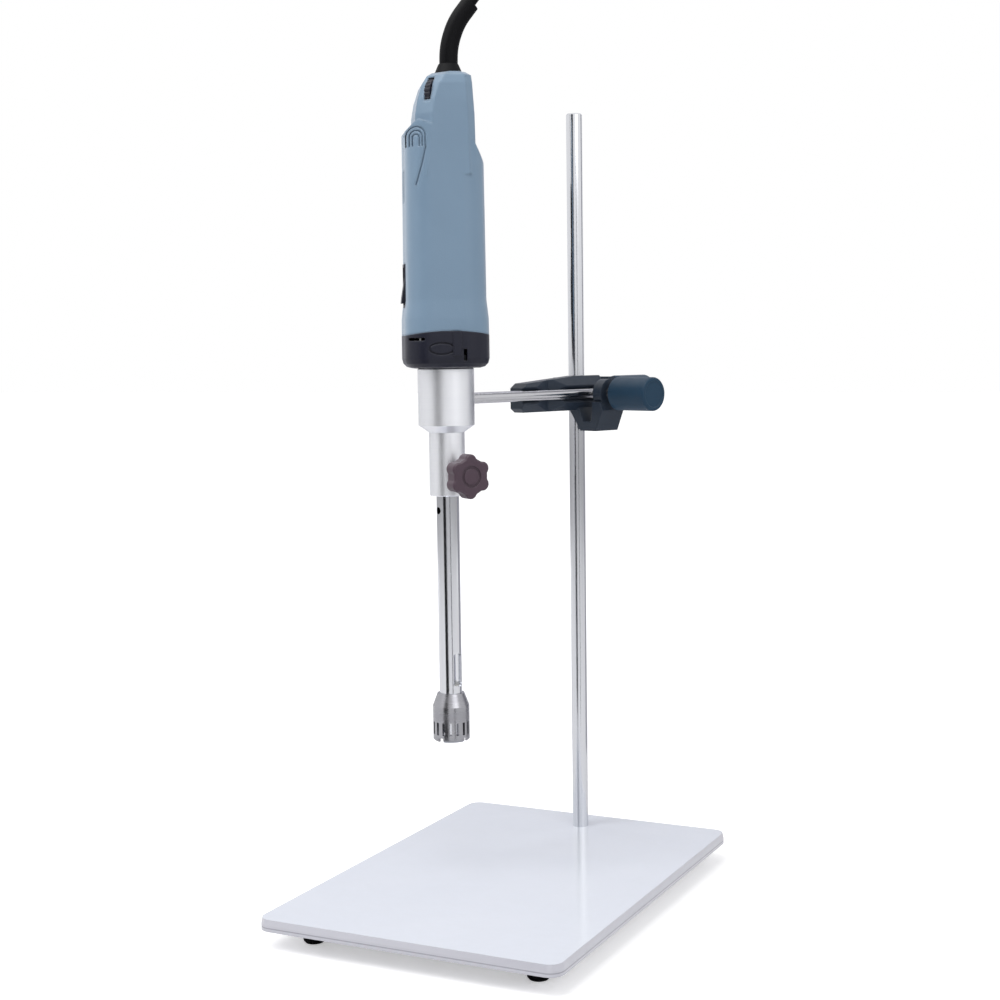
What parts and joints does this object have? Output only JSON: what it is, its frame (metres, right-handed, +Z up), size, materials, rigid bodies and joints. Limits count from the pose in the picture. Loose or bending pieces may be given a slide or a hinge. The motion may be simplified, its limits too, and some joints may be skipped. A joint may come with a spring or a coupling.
{
  "type": "rotor stator homogenizer",
  "caption": "Bench rotor stator homogenizer: upright hand-tool motor with a dispersing shaft, held by a boss head and arm on a plate stand.",
  "frame": {"origin": "middle of the footprint, on the surface that the rubber feet stand on", "axes": "+Z up; +X along the plate's short side; +Y along its long side, towards the upright"},
  "size_m": [0.22, 0.3667, 0.684],
  "materials": {
    "white_enamel": "smooth glossy enamel",
    "black_rubber": "matt moulded rubber",
    "zinc_screws": "bright zinc plate",
    "polished_steel": "ground and polished stainless steel",
    "slate_casting": "stoved slate-blue paint on a casting",
    "slate_knob": "satin slate-blue plastic",
    "bright_spindle": "turned steel",
    "turned_aluminium": "fine turned and polished",
    "blue_grey_housing": "satin moulded plastic",
    "black_moulding": "fine-grained black plastic",
    "brown_phenolic": "dull phenolic moulding",
    "lamination_steel": "stacked laminations",
    "copper_winding": "enamelled copper",
    "brass_holder": "drawn brass",
    "carbon": "pressed carbon",
    "circuit_board": "glass-epoxy board",
    "white_ptfe": "turned fluoropolymer"
  },
  "bodies": {
    "base": {"base_plate": "white_enamel", "rubber_feet": "black_rubber", "foot_screws": "zinc_screws"},
    "upright": {"support_rod": "polished_steel", "rod_screw": "zinc_screws"},
    "clamp": {"boss_head": "slate_casting"},
    "rod_knob": {"rod_clamp_knob": "slate_knob", "rod_clamp_spindle": "bright_spindle"},
    "arm_knob": {"arm_clamp_knob": "slate_knob", "arm_clamp_spindle": "bright_spindle"},
    "arm": {"arm_rod": "polished_steel"},
    "motor": {"coupling_collar": "turned_aluminium", "housing_front": "blue_grey_housing", "housing_rear": "blue_grey_housing", "housing_screws": "zinc_screws", "end_cap": "black_moulding", "end_cap_screws": "zinc_screws", "field_core": "lamination_steel", "field_coils": "copper_winding", "brush_carrier": "black_moulding", "brush_holders": "brass_holder", "carbon_brushes": "carbon", "upper_bearing": "bright_spindle", "lower_bearing": "bright_spindle", "speed_board": "circuit_board", "switch_body": "black_moulding", "cord_boot": "black_rubber", "power_cord": "black_rubber", "cord_hank": "black_rubber", "cord_tie": "black_moulding", "mains_plug": "black_moulding"},
    "tool_knob": {"star_knob": "brown_phenolic", "star_knob_screw": "bright_spindle"},
    "switch": {"switch_rocker": "black_moulding"},
    "speed_wheel": {"speed_thumbwheel": "black_moulding"},
    "armature": {"armature_shaft": "bright_spindle", "armature_core": "lamination_steel", "armature_windings": "copper_winding", "commutator": "copper_winding", "cooling_fan": "black_moulding", "drive_coupling": "bright_spindle"},
    "tool": {"stator_tube": "polished_steel", "stator_head": "polished_steel", "shaft_bushes": "white_ptfe"},
    "rotor": {"rotor_shaft": "polished_steel", "rotor_head": "polished_steel"}
  },
  "joints": [
    {"name": "stand_swivel", "type": "hinge", "parent": "base", "child": "upright", "pos_m": [0, 0.10543, 0.0215], "axis": [0, 0, 1], "continuous": true},
    {"name": "clamp_height", "type": "slide", "parent": "upright", "child": "clamp", "axis": [0, 0, 1], "range_m": [-0.085, 0.17]},
    {"name": "rod_knob_turn", "type": "hinge", "parent": "clamp", "child": "rod_knob", "pos_m": [0.02052, 0.16181, 0.3605], "axis": [0.342, 0.9397, 0], "range_deg": [0, 360]},
    {"name": "arm_knob_turn", "type": "hinge", "parent": "clamp", "child": "arm_knob", "pos_m": [0.05638, 0.08491, 0.3605], "axis": [0.9397, -0.342, 0], "range_deg": [0, 360]},
    {"name": "arm_reach", "type": "slide", "parent": "clamp", "child": "arm", "axis": [-0.342, -0.9397, 0], "range_m": [-0.015, 0.03]},
    {"name": "head_tilt", "type": "hinge", "parent": "arm", "child": "motor", "pos_m": [-0.03646, -0.03986, 0.3605], "axis": [0.342, 0.9397, 0], "range_deg": [-90, 90]},
    {"name": "tool_knob_turn", "type": "hinge", "parent": "motor", "child": "tool_knob", "pos_m": [-0.01159, -0.05663, 0.308], "axis": [0.829, -0.5592, 0], "range_deg": [0, 360]},
    {"name": "switch_rock", "type": "hinge", "parent": "motor", "child": "switch", "pos_m": [-0.05755, -0.05408, 0.4395], "axis": [0.5592, -0.829, 0], "range_deg": [0, 10]},
    {"name": "speed_wheel_turn", "type": "hinge", "parent": "motor", "child": "speed_wheel", "pos_m": [-0.03135, -0.05726, 0.569], "axis": [0.9816, -0.1908, 0], "range_deg": [0, 270]},
    {"name": "armature_spin", "type": "hinge", "parent": "motor", "child": "armature", "pos_m": [-0.03646, -0.03986, 0.3825], "axis": [0, 0, 1], "continuous": true},
    {"name": "tool_draw", "type": "slide", "parent": "motor", "child": "tool", "axis": [0, 0, -1], "range_m": [0, 0.05]},
    {"name": "rotor_spin", "type": "hinge", "parent": "tool", "child": "rotor", "pos_m": [-0.03646, -0.03986, 0.1315], "axis": [0, 0, 1], "continuous": true}
  ],
  "couplings": [
    {"joint": "rotor_spin", "follows": "armature_spin", "ratio": 1}
  ]
}
